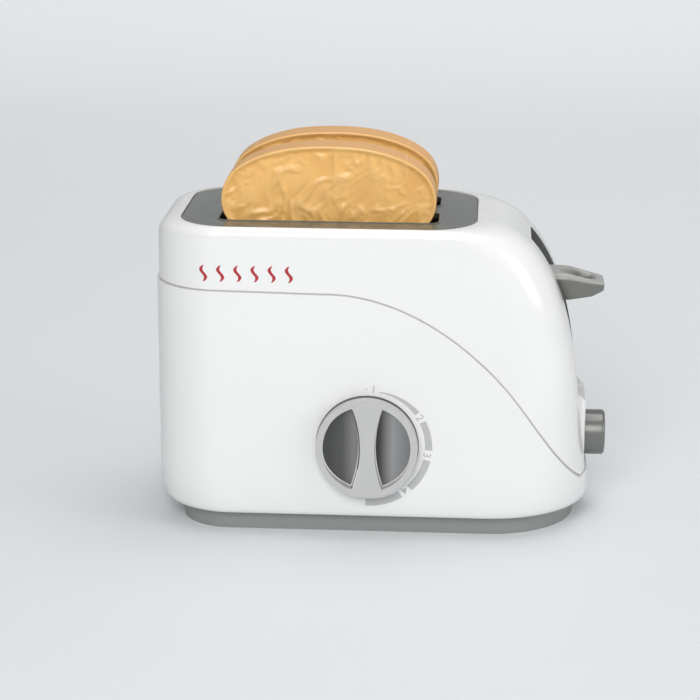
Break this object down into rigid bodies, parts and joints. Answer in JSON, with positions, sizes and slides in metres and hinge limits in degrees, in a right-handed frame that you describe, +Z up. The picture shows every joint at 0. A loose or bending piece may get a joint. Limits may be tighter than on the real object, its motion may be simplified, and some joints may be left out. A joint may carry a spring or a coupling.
{
  "type": "toy toaster",
  "caption": "Toy pop-up toaster: white rounded body, two bread slices on a sprung carriage, side lever, release button and turning dial.",
  "frame": {"origin": "on the table, under the middle of the white body", "axes": "+X towards the end with the lever and the button, -Y towards the front with the dial, +Z up"},
  "size_m": [0.2111, 0.107, 0.1794],
  "materials": {
    "white_shell": "smooth moulded gloss",
    "plate_grey": "fine satin moulding",
    "base_grey": "fine satin moulding",
    "lever_grey": "polished grey moulding",
    "silver_paint": "silver lacquer on plastic",
    "black_moulding": "plain black moulding",
    "inner_grey": "plain grey moulding",
    "bread_crust": "toasted bread colour, soft sheen",
    "spring_steel": "drawn wire and strip",
    "screw_steel": "zinc plated",
    "battery_wrap": "plain blue sleeve",
    "board_green": "solder mask",
    "part_black": "moulded components"
  },
  "bodies": {
    "housing": {"front_shell": "white_shell", "rear_shell": "white_shell", "top_plate": "plate_grey", "bread_wells": "black_moulding", "base_tray": "base_grey", "lever_guide": "plate_grey", "lift_frame": "inner_grey", "guide_rods": "spring_steel", "lift_springs": "spring_steel", "catch_spring": "spring_steel", "catch_screw": "screw_steel", "button_spring": "spring_steel", "switch_housing": "part_black", "switch_back": "part_black", "detent_spring": "spring_steel", "switch_screws": "screw_steel", "start_switch": "part_black", "start_contact": "spring_steel", "battery_box": "black_moulding", "battery_cover": "base_grey", "battery_cover_screw": "screw_steel", "batteries": "battery_wrap", "battery_contacts": "spring_steel", "circuit_board": "board_green", "board_components": "part_black", "speaker": "part_black", "shell_screws": "screw_steel", "base_screws": "screw_steel", "plate_screws": "screw_steel", "frame_screws": "screw_steel"},
    "carriage": {"carriage": "inner_grey", "lever_knob": "lever_grey"},
    "front_slice": {"bread_slice_front": "bread_crust"},
    "rear_slice": {"bread_slice_rear": "bread_crust"},
    "dial": {"dial_knob": "silver_paint", "dial_shaft": "inner_grey", "detent_wheel": "inner_grey"},
    "button": {"release_button": "silver_paint"}
  },
  "joints": [
    {"name": "carriage_lift", "type": "slide", "parent": "housing", "child": "carriage", "axis": [0, 0, 1], "range_m": [-0.04, 0], "stiffness_N_per_m": 60, "springref_m": 0.05, "deforming": ["lift_springs", "start_contact"]},
    {"name": "front_slice_lift", "type": "slide", "parent": "carriage", "child": "front_slice", "axis": [0, 0, 1], "range_m": [0, 0.1]},
    {"name": "rear_slice_lift", "type": "slide", "parent": "carriage", "child": "rear_slice", "axis": [0, 0, 1], "range_m": [0, 0.1]},
    {"name": "dial_turn", "type": "hinge", "parent": "housing", "child": "dial", "pos_m": [-0.002, -0.0502, 0.0448], "axis": [0, 1, 0], "range_deg": [0, 180], "deforming": ["detent_spring"]},
    {"name": "button_press", "type": "slide", "parent": "housing", "child": "button", "axis": [-1, 0, 0], "range_m": [0, 0.0035], "stiffness_N_per_m": 200, "springref_m": -0.004, "deforming": ["button_spring", "catch_spring"]}
  ]
}
